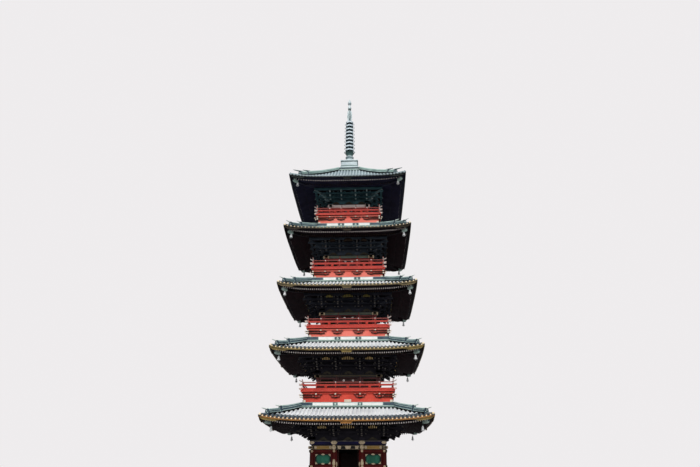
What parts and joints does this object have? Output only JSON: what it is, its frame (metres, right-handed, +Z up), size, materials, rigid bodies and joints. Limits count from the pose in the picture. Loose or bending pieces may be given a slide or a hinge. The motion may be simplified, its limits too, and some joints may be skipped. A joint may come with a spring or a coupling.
{
  "type": "five-storey pagoda",
  "caption": "Square wooden pagoda on a stone platform, with curved tiled roofs, red balconies, an open front doorway with hinged doors and a ringed finial.",
  "frame": {"origin": "on the ground at the centre of the stone platform's underside", "axes": "+Z up along the tower's axis, -Y towards the front with the open doorway, +X to the right seen from the front"},
  "size_m": [11.86, 11.86, 36],
  "materials": {
    "platform_stone": "rough, weathered",
    "floor_wood": "worn, satin",
    "wall_lacquer": "dark red lacquer, satin",
    "door_lacquer": "dark red lacquer, satin",
    "lattice_paint": "green paint, matte",
    "lintel_paint": "painted bands, matte",
    "bracket_paint": "dark paint with gilded ends, matte",
    "eaves_wood": "dark lacquer, matte",
    "roof_tile": "aged copper tile, pale blue-grey",
    "ridge_copper": "verdigris copper, matte",
    "vermilion": "vermilion lacquer, satin",
    "finial_bronze": "verdigris bronze, matte"
  },
  "bodies": {
    "tower": {"stone_platform": "platform_stone", "ground_floor": "floor_wood", "front_wall_left": "wall_lacquer", "front_wall_right": "wall_lacquer", "right_wall": "wall_lacquer", "back_wall": "wall_lacquer", "left_wall": "wall_lacquer", "window_lattices_1": "lattice_paint", "right_doors": "door_lacquer", "back_doors": "door_lacquer", "left_doors": "door_lacquer", "lintel_1": "lintel_paint", "brackets_1": "bracket_paint", "eaves_1": "eaves_wood", "roof_1": "roof_tile", "ridges_1": "ridge_copper", "balcony_2": "vermilion", "railing_2": "vermilion", "walls_2": "wall_lacquer", "doors_and_lattices_2": "lattice_paint", "brackets_2": "bracket_paint", "eaves_2": "eaves_wood", "roof_2": "roof_tile", "ridges_2": "ridge_copper", "balcony_3": "vermilion", "railing_3": "vermilion", "walls_3": "wall_lacquer", "doors_and_lattices_3": "lattice_paint", "brackets_3": "bracket_paint", "eaves_3": "eaves_wood", "roof_3": "roof_tile", "ridges_3": "ridge_copper", "balcony_4": "vermilion", "railing_4": "vermilion", "walls_4": "wall_lacquer", "doors_and_lattices_4": "lattice_paint", "brackets_4": "bracket_paint", "eaves_4": "eaves_wood", "roof_4": "roof_tile", "ridges_4": "ridge_copper", "balcony_5": "vermilion", "railing_5": "vermilion", "walls_5": "wall_lacquer", "doors_and_lattices_5": "lattice_paint", "brackets_5": "bracket_paint", "eaves_5": "eaves_wood", "roof_5": "roof_tile", "ridges_5": "ridge_copper", "finial_base": "finial_bronze", "finial_rings": "finial_bronze", "finial_flame": "finial_bronze"},
    "front_door_left": {"front_door_left": "door_lacquer"},
    "front_door_right": {"front_door_right": "door_lacquer"}
  },
  "joints": [
    {"name": "front_door_left_swing", "type": "hinge", "parent": "tower", "child": "front_door_left", "pos_m": [-0.72, -2.52, 1.06], "axis": [0, 0, 1], "range_deg": [-90, 0]},
    {"name": "front_door_right_swing", "type": "hinge", "parent": "tower", "child": "front_door_right", "pos_m": [0.72, -2.52, 1.06], "axis": [0, 0, 1], "range_deg": [0, 90]}
  ]
}
